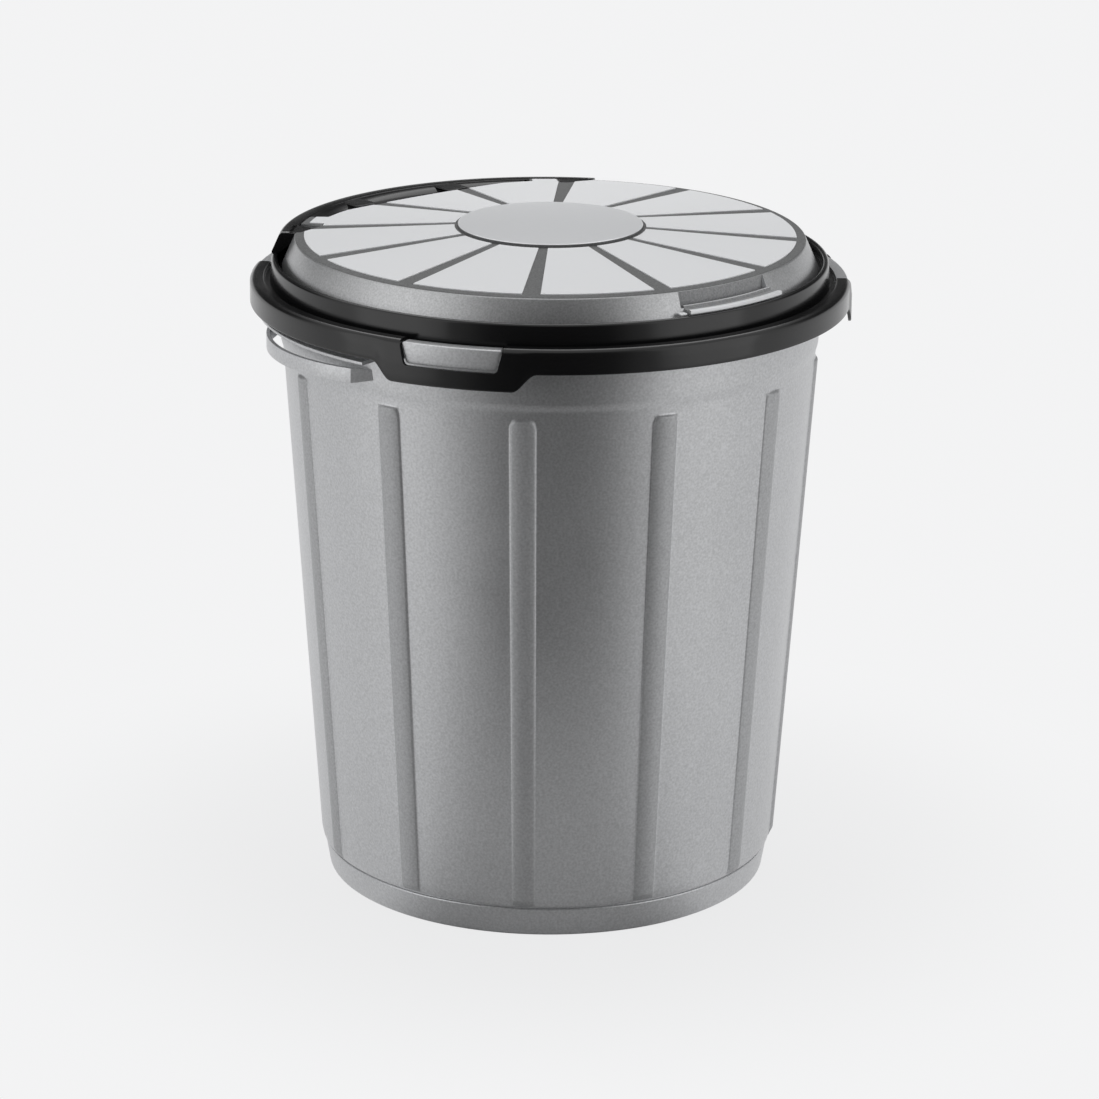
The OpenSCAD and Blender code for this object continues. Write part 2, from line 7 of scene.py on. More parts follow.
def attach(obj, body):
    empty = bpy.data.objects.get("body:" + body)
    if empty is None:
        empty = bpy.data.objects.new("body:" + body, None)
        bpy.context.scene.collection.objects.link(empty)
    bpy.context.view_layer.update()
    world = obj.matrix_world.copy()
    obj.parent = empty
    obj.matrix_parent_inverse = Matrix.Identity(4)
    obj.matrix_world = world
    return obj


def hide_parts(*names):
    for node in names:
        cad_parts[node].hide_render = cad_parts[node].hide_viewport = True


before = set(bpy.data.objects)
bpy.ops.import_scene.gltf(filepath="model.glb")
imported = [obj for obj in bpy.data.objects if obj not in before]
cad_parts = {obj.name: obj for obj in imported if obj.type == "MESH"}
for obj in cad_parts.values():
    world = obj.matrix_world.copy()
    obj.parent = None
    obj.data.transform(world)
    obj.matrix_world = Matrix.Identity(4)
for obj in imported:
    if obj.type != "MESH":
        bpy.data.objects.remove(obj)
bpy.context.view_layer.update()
mm = 0.001  # the pieces are written in millimetres, the studio and the camera in metres
pieceWeld, spinWeld, cutSlack = 1.5e-6, 1e-6, 1e-7  # metres
print("trash can: frame loaded")


# A place on the round wall: the azimuth is in degrees from the front (-Y) towards +X
def onWall(radius, azimuth, height):
    turn = radians(azimuth)
    return Vector((radius * sin(turn), -radius * cos(turn), height)) * mm


def azimuthOf(point):
    return degrees(atan2(point.x, -point.y))


def radiusOf(point):
    return hypot(point.x, point.y) / mm


# A plan corner (x, y, corner radius) at an angle from the hinge side (+Y)
def polarOf(radius, turn, corner):
    return (radius * sin(radians(turn)), radius * cos(radians(turn)), corner)


def easeStep(value, low, high):
    share = min(max((value - low) / (high - low), 0.0), 1.0)
    return share * share * (3 - 2 * share)


# An outline whose corners (a, b, radius) are turned into short arcs
def rounded(corners, steps=4, loop=True):
    sideShare = 0.49  # the most of a side that one corner takes up
    path = []
    for i, (a, b, radius) in enumerate(corners):
        here = Vector((a, b))
        if radius <= 0 or (not loop and i in (0, len(corners) - 1)):
            path.append((a, b))
            continue
        before = Vector(corners[i - 1][:2]) - here
        after = Vector(corners[(i + 1) % len(corners)][:2]) - here
        half = before.angle(after) / 2
        reach = min(radius / tan(half), before.length * sideShare, after.length * sideShare)
        start, end = here + before.normalized() * reach, here + after.normalized() * reach
        inward = (before.normalized() + after.normalized()).normalized()
        middle = here + inward * (reach / cos(half))
        first, last = start - middle, end - middle
        for k in range(steps + 1):
            arm = first.lerp(last, k / steps).normalized() * first.length
            path.append(tuple(middle + arm))
    return path


# A (radius, height) profile spun round the upright axis
def spinProfile(bm, points, steps, start=0.0, sweep=360.0, loop=True):
    full = sweep > 359.9
    verts = [bm.verts.new(onWall(radius, start, height)) for radius, height in points]
    pairs = list(zip(verts, verts[1:])) + ([(verts[-1], verts[0])] if loop else [])
    edges = [bm.edges.new(pair) for pair in pairs]
    bmesh.ops.spin(bm, geom=verts + edges, cent=(0, 0, 0), axis=(0, 0, 1), dvec=(0, 0, 0),
                   angle=radians(sweep), steps=steps, use_merge=full, use_duplicate=False)
    bmesh.ops.remove_doubles(bm, verts=bm.verts, dist=spinWeld)
    if not full:
        ends = [edge for edge in bm.edges if edge.is_boundary]
        bmesh.ops.holes_fill(bm, edges=ends, sides=0)


def flatFace(bm, corners):
    return bm.faces.new([bm.verts.new(Vector(corner) * mm) for corner in corners])


# Faces pushed out into a closed slab
def pushOut(bm, faces, push):
    made = bmesh.ops.extrude_face_region(bm, geom=faces)["geom"]
    front = [part for part in made if isinstance(part, bmesh.types.BMVert)]
    bmesh.ops.translate(bm, verts=front, vec=[value * mm for value in push])
    return made


def roundEdges(bm, edges, radius, segments=3):
    bmesh.ops.bevel(bm, geom=edges, offset=radius * mm, segments=segments, profile=0.5,
                    affect="EDGES", material=-1, clamp_overlap=True)


# A plate of a plan outline (x, y) between two heights
def slabOf(bm, outline, low, high, edge=0.0, segments=3):
    face = flatFace(bm, [(x, y, low) for x, y in outline])
    made = pushOut(bm, [face], (0, 0, high - low))
    if edge > 0:
        level = [part for part in made if isinstance(part, bmesh.types.BMEdge)]
        level += list(face.edges) if face.is_valid else []
        roundEdges(bm, level, edge, segments)


# A plate of a side outline (y, z, corner radius), as wide as stated from one X on
def sidePlate(outline, start, width):
    plate = bmesh.new()
    face = flatFace(plate, [(0, y, z) for y, z in rounded(outline, 3)])
    pushOut(plate, [face], (width, 0, 0))
    bmesh.ops.translate(plate, verts=plate.verts, vec=(start * mm, 0, 0))
    return plate


# A plate drawn flat as (along the wall, height), thickened outwards, edges rounded, then bent
def bentPlate(bm, outline, inner, outer, azimuth, edge, segments, cut):
    plate = bmesh.new()
    flatFace(plate, [(s, 0, z) for s, z in outline])
    low, high = min(p[0] for p in outline), max(p[0] for p in outline)
    count = max(2, int((high - low) / cut))
    for k in range(1, count):
        place = (low + (high - low) * k / count) * mm
        bmesh.ops.bisect_plane(plate, geom=plate.verts[:] + plate.edges[:] + plate.faces[:],
                               dist=cutSlack, plane_co=(place, 0, 0), plane_no=(1, 0, 0))
    pushOut(plate, plate.faces[:], (0, outer - inner, 0))
    bmesh.ops.recalc_face_normals(plate, faces=plate.faces)
    if edge > 0:
        front, sharp = (outer - inner) * mm * 0.99, 1.0
        rim = [side for side in plate.edges
               if side.calc_face_angle(0) > sharp and all(v.co.y > front for v in side.verts)]
        roundEdges(plate, rim, edge, segments)
    bend = (inner + outer) / 2
    for vert in plate.verts:
        along, depth, height = vert.co / mm
        vert.co = onWall(inner + depth, azimuth + degrees(along / bend), height)
    joinInto(bm, plate)


def joinInto(bm, other):
    mesh = bpy.data.meshes.new("joining")
    other.to_mesh(mesh)
    other.free()
    bm.from_mesh(mesh)
    bpy.data.meshes.remove(mesh)


def objectFrom(name, bm):
    mesh = bpy.data.meshes.new(name)
    bm.to_mesh(mesh)
    bm.free()
    made = bpy.data.objects.new(name, mesh)
    bpy.context.scene.collection.objects.link(made)
    return made


# A finished piece: doubles merged, faces outwards, smooth but for sharp edges
def newPiece(name, bm, material, body, replaced=(), sharp=38.0):
    bmesh.ops.remove_doubles(bm, verts=bm.verts, dist=pieceWeld)
    bmesh.ops.dissolve_degenerate(bm, edges=bm.edges, dist=cutSlack)
    bmesh.ops.recalc_face_normals(bm, faces=bm.faces)
    piece = objectFrom(name, bm)
    piece.data.materials.append(material)
    softenPiece(piece, sharp)
    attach(piece, body)
    if replaced:
        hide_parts(*replaced)
    return piece


def softenPiece(piece, sharp):
    bm = bmesh.new()
    bm.from_mesh(piece.data)
    for face in bm.faces:
        face.smooth = len(face.verts) < 5 or abs(face.normal.z) < 0.985  # level slabs stay flat
    for edge in bm.edges:
        edge.smooth = edge.calc_face_angle(0) < radians(sharp)
    bm.to_mesh(piece.data)
    bm.free()


# Cutters taken out of a piece, and then removed
def cutAway(piece, cutters, sharp=38.0):
    for cutter in cutters:
        bmesh.ops.recalc_face_normals(cutter, faces=cutter.faces)
        tool = objectFrom("cutter", cutter)
        modifier = piece.modifiers.new("cut", "BOOLEAN")
        modifier.operation = "DIFFERENCE"
        modifier.solver = "EXACT"
        modifier.object = tool
        depsgraph = bpy.context.evaluated_depsgraph_get()
        result = bpy.data.meshes.new_from_object(piece.evaluated_get(depsgraph))
        piece.modifiers.clear()
        spent = (piece.data, tool.data)
        piece.data = result
        bpy.data.objects.remove(tool)
        for mesh in spent:
            bpy.data.meshes.remove(mesh)
    softenPiece(piece, sharp)


# Materials: every one starts from a Principled shader and Object coordinates
def plainTree(name, look):
    material = bpy.data.materials.new(name)
    material.use_nodes = True
    tree = material.node_tree
    shader = tree.nodes["Principled BSDF"]
    shader.inputs["Roughness"].default_value = look["roughness"]
    shader.inputs["Specular IOR Level"].default_value = look.get("specular", 0.5)
    place = tree.nodes.new("ShaderNodeTexCoord")
    mapping = tree.nodes.new("ShaderNodeMapping")
    tree.links.new(place.outputs["Object"], mapping.inputs["Vector"])
    return material, tree, shader, mapping


def noiseNode(tree, mapping, scale, detail):
    noise = tree.nodes.new("ShaderNodeTexNoise")
    noise.inputs["Scale"].default_value = scale
    noise.inputs["Detail"].default_value = detail
    tree.links.new(mapping.outputs["Vector"], noise.inputs["Vector"])
    return noise.outputs["Fac"]


def rampNode(tree, source, stops):
    ramp = tree.nodes.new("ShaderNodeValToRGB")
    while len(ramp.color_ramp.elements) < len(stops):
        ramp.color_ramp.elements.new(0.5)
    for element, (place, colour) in zip(ramp.color_ramp.elements, stops):
        element.position = place
        element.color = (*colour, 1.0)
    tree.links.new(source, ramp.inputs["Fac"])
    return ramp


def rangeNode(tree, source, low, high, first=0.0, last=1.0, kind="SMOOTHSTEP"):
    node = tree.nodes.new("ShaderNodeMapRange")
    node.interpolation_type = kind
    for name, value in (("From Min", low), ("From Max", high), ("To Min", first), ("To Max", last)):
        node.inputs[name].default_value = value
    tree.links.new(source, node.inputs["Value"])
    return node.outputs["Result"]


# Roughness that drifts with a noise, down and up from the look's own
def addHaze(tree, shader, source, look, down, up):
    rough = look["roughness"]
    haze = rangeNode(tree, source, 0.3, 0.7, rough - down, rough + up, "LINEAR")
    tree.links.new(haze, shader.inputs["Roughness"])


def addGrain(tree, shader, source, strength, depth):
    bump = tree.nodes.new("ShaderNodeBump")
    bump.inputs["Strength"].default_value = strength
    bump.inputs["Distance"].default_value = depth * mm
    tree.links.new(source, bump.inputs["Height"])
    tree.links.new(bump.outputs["Normal"], shader.inputs["Normal"])


silverMix = {"flakeDetail": 1.0, "cloudScale": 9.0, "cloudDetail": 3.0, "cloudShare": 0.25,
             "darkAt": 0.32, "lightAt": 0.68, "hazeDown": 0.04, "hazeUp": 0.05, "grainDetail": 2.0}


# Silver plastic: fine metal flake in the colour, a moulded grain and, unless turned off, haze
def silverPlastic(name, look):
    material, tree, shader, mapping = plainTree(name, look)
    flake = noiseNode(tree, mapping, look["flakeScale"], silverMix["flakeDetail"])
    cloud = noiseNode(tree, mapping, silverMix["cloudScale"], silverMix["cloudDetail"])
    mix = tree.nodes.new("ShaderNodeMix")
    mix.data_type = "FLOAT"
    mix.inputs["Factor"].default_value = silverMix["cloudShare"]
    tree.links.new(flake, mix.inputs["A"])
    tree.links.new(cloud, mix.inputs["B"])
    dark = tuple(c * (1 - look["variation"]) for c in look["colour"])
    light = tuple(min(c * (1 + look["variation"]), 1) for c in look["colour"])
    ramp = rampNode(tree, mix.outputs["Result"],
                    [(silverMix["darkAt"], dark), (silverMix["lightAt"], light)])
    tree.links.new(ramp.outputs["Color"], shader.inputs["Base Color"])
    if look.get("hazy", True):
        addHaze(tree, shader, cloud, look, silverMix["hazeDown"], silverMix["hazeUp"])
    shader.inputs["Metallic"].default_value = look["metallic"]
    grain = noiseNode(tree, mapping, look["grainScale"], silverMix["grainDetail"])
    addGrain(tree, shader, grain, look["grain"], look["grainDepth"])
    return material


blackMix = {"rippleScale": 26.0, "rippleDetail": 2.0, "speckScale": 2400.0, "speckDetail": 1.0,
            "darkAt": 0.35, "lightAt": 0.72, "hazeDown": 0.03, "hazeUp": 0.04, "grainDepth": 0.02}


# Black plastic: glossy, with a faint ripple in the gloss and fine dust
def blackPlastic(name, look):
    material, tree, shader, mapping = plainTree(name, look)
    ripple = noiseNode(tree, mapping, blackMix["rippleScale"], blackMix["rippleDetail"])
    speck = noiseNode(tree, mapping, blackMix["speckScale"], blackMix["speckDetail"])
    ramp = rampNode(tree, speck, [(blackMix["darkAt"], look["colour"]),
                                  (blackMix["lightAt"], look["speckColour"])])
    tree.links.new(ramp.outputs["Color"], shader.inputs["Base Color"])
    addHaze(tree, shader, ripple, look, blackMix["hazeDown"], blackMix["hazeUp"])
    addGrain(tree, shader, speck, look["grain"], blackMix["grainDepth"])
    return material


bucketLook = {"colour": (0.5, 0.505, 0.515), "variation": 0.13, "metallic": 0.68,
              "roughness": 0.34, "flakeScale": 620.0, "grainScale": 1000.0, "grain": 0.12,
              "grainDepth": 0.1}
ribShadeLook = {**bucketLook, "colour": (0.4, 0.404, 0.412), "metallic": 0.6,
           "roughness": 0.54}  # the ribs are duller than the wall, and their darker colour is painted shade
lidLook = {"colour": (0.42, 0.424, 0.43), "variation": 0.16, "metallic": 0.84,
           "roughness": 0.36, "flakeScale": 800.0, "grainScale": 1100.0, "grain": 0.35,
           "grainDepth": 0.15}
# Groove grey: textured plastic whose dark colour is partly painted shade in the recessed grooves
grooveShadeLook = {"colour": (0.125, 0.127, 0.128), "variation": 0.25, "metallic": 0.0,
              "roughness": 0.72, "specular": 0.3, "flakeScale": 900.0, "grainScale": 900.0,
              "grain": 0.5, "grainDepth": 0.25}
panelLook = {"colour": (0.82, 0.83, 0.845), "variation": 0.008, "metallic": 0.03,
             "roughness": 0.27, "hazy": False, "flakeScale": 1600.0, "grainScale": 30.0,
             "grain": 0.02, "grainDepth": 0.05}
discLook = {"colour": (0.72, 0.73, 0.745), "variation": 0.02, "metallic": 0.22,
            "roughness": 0.3, "hazy": False, "flakeScale": 1600.0, "grainScale": 30.0,
            "grain": 0.02, "grainDepth": 0.05}
# Recess grey: the lid's silver darkened as painted shade inside the finger pull
recessShadeLook = {"colour": (0.27, 0.273, 0.278), "variation": 0.2, "metallic": 0.2,
              "roughness": 0.5, "flakeScale": 800.0, "grainScale": 1000.0, "grain": 0.3,
              "grainDepth": 0.15}
ringLook = {"colour": (0.0045, 0.0045, 0.0048), "speckColour": (0.009, 0.009, 0.0095),
            "roughness": 0.17, "specular": 0.42, "grain": 0.04}
pinLook = {"colour": (0.022, 0.022, 0.023), "speckColour": (0.04, 0.04, 0.041),
           "roughness": 0.42, "grain": 0.2}

bucketSilver = silverPlastic("bucketSilver", bucketLook)
ribShadeSilver = silverPlastic("bucketRibSilverPaintedShade", ribShadeLook)
lidGrey = silverPlastic("lidTexturedGrey", lidLook)
grooveShadeGrey = silverPlastic("lidGrooveTextureAndShade", grooveShadeLook)
panelSilver = silverPlastic("lidPanelGloss", panelLook)
discSilver = silverPlastic("lidDiscSatin", discLook)
recessShadeGrey = silverPlastic("pullRecessPaintedShade", recessShadeLook)
ringBlack = blackPlastic("ringGlossBlack", ringLook)
pinBlack = blackPlastic("pinBlack", pinLook)
print("trash can: materials ready")


# Bucket: tapered wall with twelve crowned ribs, foot, band and hem
bucketShape = {
    "wallLow": (163.0, 28.0), "wallTop": (187.18, 386.0), "wall": 2.2,
    "bandOut": 1.2, "bandLow": 384.9, "bandHigh": 393.0,
    "ribs": 12, "ribTurn": 15.0, "ribHalf": 2.7, "ribHeight": 2.1, "ribFlank": 0.32,
    "ribTop": 380.6, "ribTopSlope": 0.55, "ribCorner": 3.8, "ribLow": 22.9, "ribFull": 25.6,
    "ribShadeFrom": 24,
}


def wallRadius(height):
    (lowR, lowZ), (topR, topZ) = bucketShape["wallLow"], bucketShape["wallTop"]
    return lowR + (height - lowZ) * (topR - lowR) / (topZ - lowZ)


# Degrees from the middle of the nearest rib
def ribAcross(azimuth):
    half = 180 / bucketShape["ribs"]
    return abs((azimuth - bucketShape["ribTurn"] + half) % (2 * half) - half)


def ribRise(azimuth, height):
    shape = bucketShape
    across, corner = ribAcross(azimuth), shape["ribCorner"]
    side = radians(shape["ribHalf"] - across) * wallRadius(height)
    top = (shape["ribTop"] - height) * shape["ribTopSlope"]
    if side < corner and top < corner:
        inside = corner - hypot(corner - side, corner - top)
    else:
        inside = min(side, top)
    crown = 1 - min(across / shape["ribHalf"], 1) ** 2
    rise = shape["ribFlank"] + (1 - shape["ribFlank"]) * crown
    start = easeStep(height, shape["ribLow"], shape["ribFull"])
    return shape["ribHeight"] * easeStep(inside, -0.6, 1.0) * rise * start


def bucketPiece():
    shape = bucketShape
    bandOut, wall = shape["bandOut"], shape["wall"]
    outside = [(0, 3.0), (60, 3.0), (120, 3.0)]
    outside += rounded([(150.4, 3.0, 0), (152.2, 3.0, 1.2), (153.0, 0.0, 0.6), (157.0, 0.0, 2.4),
                        (160.5, 20.4, 1.8), (159.2, 21.2, 0.3), (159.2, 22.1, 0.3),
                        (161.9, 22.7, 2.3), (163.0, 28.4, 7.0), (163.27, 32.0, 0)], 6, loop=False)
    rows = [40, 80, 130, 180, 230, 280, 330, 352, 364, 370, 373, 375, 376.2, 377.2, 378.0, 378.8,
            379.4, 379.9, 380.3, 380.7, 381.1, 381.6, 382.2, 383.4, 384.8]
    outside += [(wallRadius(z), z) for z in rows]
    outside += [(wallRadius(z) + bandOut * easeStep(z, shape["bandLow"], shape["bandHigh"]), z)
                for z in (385.6, 386.4, 387.3, 388.3, 389.3, 390.3, 391.3, 392.2, 393.0)]
    outside += [(wallRadius(z) + bandOut, z) for z in (400, 413, 423.6)]
    outside += rounded([(191.0, 424.6, 0), (191.1, 426.8, 1.2), (201.7, 426.8, 1.0),
                        (201.7, 420.6, 0.5), (204.1, 420.6, 0.9), (204.1, 429.2, 1.4),
                        (189.1, 429.2, 0.8), (188.9, 425.0, 0)], 3, loop=False)
    inside = [(wallRadius(z) + bandOut - wall, z) for z in (413, 400, 389)]
    inside += [(185.0, 385.5)] + [(wallRadius(z) - wall, z) for z in (330, 230, 130, 32)]
    inside += rounded([(160.8, 28, 0), (157.2, 21, 2), (154.6, 9, 3.5), (150.0, 5.6, 3),
                       (140, 5.6, 0)], 3, loop=False)
    inside += [(90, 5.6), (40, 5.6), (0, 5.6)]
    columns = [0, 0.9, 1.5, 1.9, 2.15, 2.35, 2.5, 2.65, 2.8, 3.1, 4, 6, 8.5, 11.5, 15]
    sector = columns + [30 - c for c in reversed(columns[1:-1])]  # degrees, from rib to rib
    count = len(sector) * shape["ribs"]
    bm = bmesh.new()
    spinProfile(bm, outside + inside, count, loop=False)
    for vert in bm.verts:
        radius, height = radiusOf(vert.co), vert.co.z / mm
        if radius < 1:
            continue
        index = round((azimuthOf(vert.co) % 360) / (360 / count)) % count
        azimuth = shape["ribTurn"] + 30 * (index // len(sector)) + sector[index % len(sector)]
        if radius > wallRadius(height) - 1.6:  # the wall's outer face
            radius += ribRise(azimuth, height)
        vert.co = onWall(radius, azimuth, height)
    piece = newPiece("bucketShell", bm, bucketSilver, "bucket", ("bucket",), 34)
    piece.data.materials.append(ribShadeSilver)
    # rib faces take the darker rib silver: painted shade on the ribs, with duller gloss
    for face in piece.data.polygons:
        height = face.center.z / mm
        outer = radiusOf(face.center) > wallRadius(height) - 1
        onRib = ribAcross(azimuthOf(face.center)) < shape["ribHalf"]
        if outer and onRib and shape["ribShadeFrom"] < height < shape["ribTop"]:
            face.material_index = 1


lugShape = {"azimuths": (58, -58, 148, -148), "inner": 200.4, "outer": 208.5, "low": 419.2,
            "high": 433.75, "halfLow": 31.6, "halfTop": 35.1, "cornerLow": 2.6, "cornerTop": 1.6,
            "edge": 1.1}


def lugPieces():
    bm = bmesh.new()
    shape = lugShape
    halfLow, halfTop, low, high = (shape[key] for key in ("halfLow", "halfTop", "low", "high"))
    cornerLow, cornerTop = shape["cornerLow"], shape["cornerTop"]
    outline = rounded([(-halfLow, low, cornerLow), (halfLow, low, cornerLow),
                       (halfTop, high, cornerTop), (-halfTop, high, cornerTop)], 5)
    for azimuth in shape["azimuths"]:
        bentPlate(bm, outline, shape["inner"], shape["outer"], azimuth, shape["edge"], 3, 2.4)
    newPiece("bucketLugs", bm, bucketSilver, "bucket")


gripShape = {"azimuth": 102, "bow": 114.0, "middle": 92.9, "half": 66.4, "corner": 3.2,
             "footOuter": (77.6, 171.2), "footInner": (72.24, 173.57), "footRise": 3.2,
             "thick": 2.8, "low": 394.0, "high": 404.5, "edge": 0.9,
             "plateHalf": 24.6, "plateIn": 189.1, "plateOut": 204.4, "plateLow": 411.0,
             "plateHigh": 413.55, "plateEdge": 0.9}


# The band of one grip, drawn across +Y; both ends stop inside the wall's thickness
def gripBand():
    shape = gripShape
    sweep, steps = asin(shape["half"] / shape["bow"]), 16
    endX, endY = shape["footOuter"]
    bendY = shape["middle"] + shape["bow"] * cos(sweep)
    path = [(-endX, endY, 0), (-shape["half"], bendY, shape["corner"])]
    path += [(shape["bow"] * sin(sweep * k / steps),
              shape["middle"] + shape["bow"] * cos(sweep * k / steps), 0)
             for k in range(2 - steps, steps - 1)]
    path += [(shape["half"], bendY, shape["corner"]), (endX, endY, 0)]
    outer = rounded(path, 4, loop=False)
    inner = []
    for i, (x, y) in enumerate(outer):
        before, after = outer[max(i - 1, 0)], outer[min(i + 1, len(outer) - 1)]
        along = Vector((after[0] - before[0], after[1] - before[1])).normalized()
        inner.append((x + along.y * shape["thick"], y - along.x * shape["thick"]))
    innerX, innerY = shape["footInner"]
    inner[0], inner[-1] = (-innerX, innerY), (innerX, innerY)
    grip = bmesh.new()
    face = flatFace(grip, [(x, y, shape["low"]) for x, y in outer + inner[::-1]])
    pushOut(grip, [face], (0, 0, shape["high"] - shape["low"]))
    bmesh.ops.recalc_face_normals(grip, faces=grip.faces)
    level = [edge for edge in grip.edges if abs(edge.verts[0].co.z - edge.verts[1].co.z) < 1e-6]
    roundEdges(grip, level, shape["edge"])
    for vert in grip.verts:  # the feet's lower edge rises towards the wall
        if vert.co.z < (shape["low"] + 2) * mm:
            share = easeStep(abs(vert.co.x) / mm, shape["half"] - 1, endX)
            vert.co.z += shape["footRise"] * mm * share
    return grip


def gripPieces():
    shape = gripShape
    low, high, out = shape["plateLow"], shape["plateHigh"], shape["plateOut"]
    plate = rounded([(shape["plateIn"], low, 0), (out, low, shape["plateEdge"]),
                     (out, high, shape["plateEdge"]), (shape["plateIn"], high, 0)], 3)
    bm = bmesh.new()
    for side in (1, -1):
        grip = gripBand()
        turn = Matrix.Rotation(radians(side * (180 - shape["azimuth"])), 4, "Z")
        bmesh.ops.transform(grip, matrix=turn.inverted(), verts=grip.verts)
        joinInto(bm, grip)
        thumb = bmesh.new()
        spinProfile(thumb, plate, 48, side * shape["azimuth"] - shape["plateHalf"],
                    2 * shape["plateHalf"])
        joinInto(bm, thumb)
    newPiece("bucketGrips", bm, bucketSilver, "bucket")


bucketPiece()
lugPieces()
gripPieces()
print("trash can: bucket ready")


# Rim ring: skirt with four window tabs, shoulder, moat, collar and inner skirt
ringShape = {"steps": 720, "radius": 210, "tabs": (58, -58, 148, -148), "tabDrop": 11.9,
             "tabOut": 1.4, "tabFull": 42.5, "tabEnd": 58.5, "dropFrom": 430.0, "dropSpan": 11.9,
             "swellFrom": 434.5, "swellFull": 428.0, "skirtIn": 206.5,
             "windowLow": 32.0, "windowTop": 36.9, "windowFoot": 418.6, "windowHead": 438.0,
             "windowCorner": 3.0, "windowIn": 199.15, "windowOut": 216.0}


def ringPiece():
    shape = ringShape
    profile = rounded([
        (207.6, 418.1, 0.6), (210.0, 418.1, 0.8), (210.0, 421.0, 0), (210.0, 424.0, 0),
        (210.0, 427.5, 0), (210.0, 435.3, 4.4), (200.3, 435.3, 1.0), (199.5, 431.85, 0.4),
        (195.75, 431.85, 0.5), (195.5, 434.5, 0.6), (194.8, 448.6, 2.6), (190.6, 448.6, 1.5),
        (190.5, 441.5, 0.4), (184.75, 441.5, 0.8), (184.75, 414.3, 0.6), (186.8, 414.3, 0.6),
        (186.8, 439.3, 0.5), (192.4, 439.3, 0.8), (192.9, 429.55, 0.3), (201.4, 429.55, 0.3),
        (202.3, 433.0, 0.6), (205.6, 433.0, 0.8), (207.6, 430.8, 0.8), (207.6, 427.5, 0),
        (207.6, 424.0, 0), (207.6, 421.0, 0)], 5)
    bm = bmesh.new()
    spinProfile(bm, profile, shape["steps"])
    for vert in bm.verts:
        radius, height, azimuth = radiusOf(vert.co), vert.co.z / mm, azimuthOf(vert.co)
        if radius < shape["skirtIn"] or height > shape["swellFrom"]:
            continue
        away = min(abs((azimuth - tab + 180) % 360 - 180) for tab in shape["tabs"])
        along = radians(away) * shape["radius"]
        drop = easeStep(-along, -shape["tabEnd"], -shape["tabFull"])
        swell = easeStep(-along, -shape["tabEnd"] - 1, -shape["tabFull"] - 3)
        swell *= easeStep(-height, -shape["swellFrom"], -shape["swellFull"])
        stretch = max(0.0, min(1.0, (shape["dropFrom"] - height) / shape["dropSpan"]))
        height -= shape["tabDrop"] * drop * stretch
        vert.co = onWall(radius + shape["tabOut"] * swell, azimuth, height)
    piece = newPiece("ringRim", bm, ringBlack, "ring", ("rim_ring",), 36)
    low, top, corner = shape["windowLow"], shape["windowTop"], shape["windowCorner"]
    outline = rounded([(-low, shape["windowFoot"], corner), (low, shape["windowFoot"], corner),
                       (top, shape["windowHead"], 0), (-top, shape["windowHead"], 0)], 5)
    cutters = []
    for azimuth in shape["tabs"]:
        window = bmesh.new()
        bentPlate(window, outline, shape["windowIn"], shape["windowOut"], azimuth, 0.0, 1, 3.0)
        cutters.append(window)
    cutAway(piece, cutters, 36)


# An arc at the hinge side, hollow but for a solid section at each end
def closedArc(bm, half, end, solid, hollow, fewest):
    for start, sweep, section in ((180 - half, end, solid),
                                  (180 - half + end, 2 * half - 2 * end, hollow),
                                  (180 + half - end, end, solid)):
        part = bmesh.new()
        spinProfile(part, section, max(fewest, int(sweep * 2)), start, sweep)
        joinInto(bm, part)


hoodShape = {"half": 49.6, "end": 1.2, "top": 461.85, "inner": 179.7, "plate": 2.4,
             "rollHalf": 33.4, "rollEnd": 0.9, "rollRadius": 14.0, "rollWall": 2.4,
             "clawTurn": 43.0, "clawReach": 16.5, "clawEdge": 0.6}


# Hood over the hinge bay, its rounded cover and the two claws beside it
def hoodPiece():
    shape = hoodShape
    bm = bmesh.new()
    top, inner, half = shape["top"], shape["inner"], shape["half"]
    outer = [(193.6, 446.6, 0.4), (195.15, 447.6, 0.6), (195.15, 449.0, 1.0), (189.4, top, 2.2),
             (inner, top, 0.7)]
    shell = rounded([(191.9, 446.6, 0)] + outer + [(inner, top - 2.3, 0.5), (186.4, top - 2.4, 1.0),
                                                   (191.3, 448.5, 0.6)], 4)
    solid = rounded([(191.6, 446.6, 0)] + outer + [(inner, top - 6.0, 0.5)], 4)
    closedArc(bm, half, shape["end"], solid, shell, 3)
    radius, thin = shape["rollRadius"], shape["rollRadius"] - shape["rollWall"]
    middleZ = top - radius - 0.3
    arcOut = [(inner + radius * cos(radians(a)), middleZ + radius * sin(radians(a)))
              for a in range(86, 181, 4)]
    arcIn = [(inner + thin * cos(radians(a)), middleZ + thin * sin(radians(a)))
             for a in range(178, 85, -4)]
    lip = [(inner - radius + 0.3, middleZ - 0.9), (inner - radius + 2.1, middleZ - 0.9)]
    closedArc(bm, shape["rollHalf"], shape["rollEnd"], arcOut + [(inner + 1.4, middleZ)],
              arcOut + lip + arcIn, 2)
    turn, reach = shape["clawTurn"], shape["clawReach"]
    plan = [polarOf(inner + 4, half - 0.6, 0), polarOf(inner - 4, half, 3),
            polarOf(inner - reach, turn + 1, 1.2), polarOf(inner - reach, turn - 0.5, 1.2),
            polarOf(inner - 4, turn - 1.4, 3), polarOf(inner + 4, turn - 1.4, 0)]
    for side in (1, -1):
        claw = bmesh.new()
        slabOf(claw, rounded([(side * x, y, r) for x, y, r in plan], 4), top - shape["plate"], top,
               shape["clawEdge"])
        joinInto(bm, claw)
    newPiece("ringHood", bm, ringBlack, "ring")


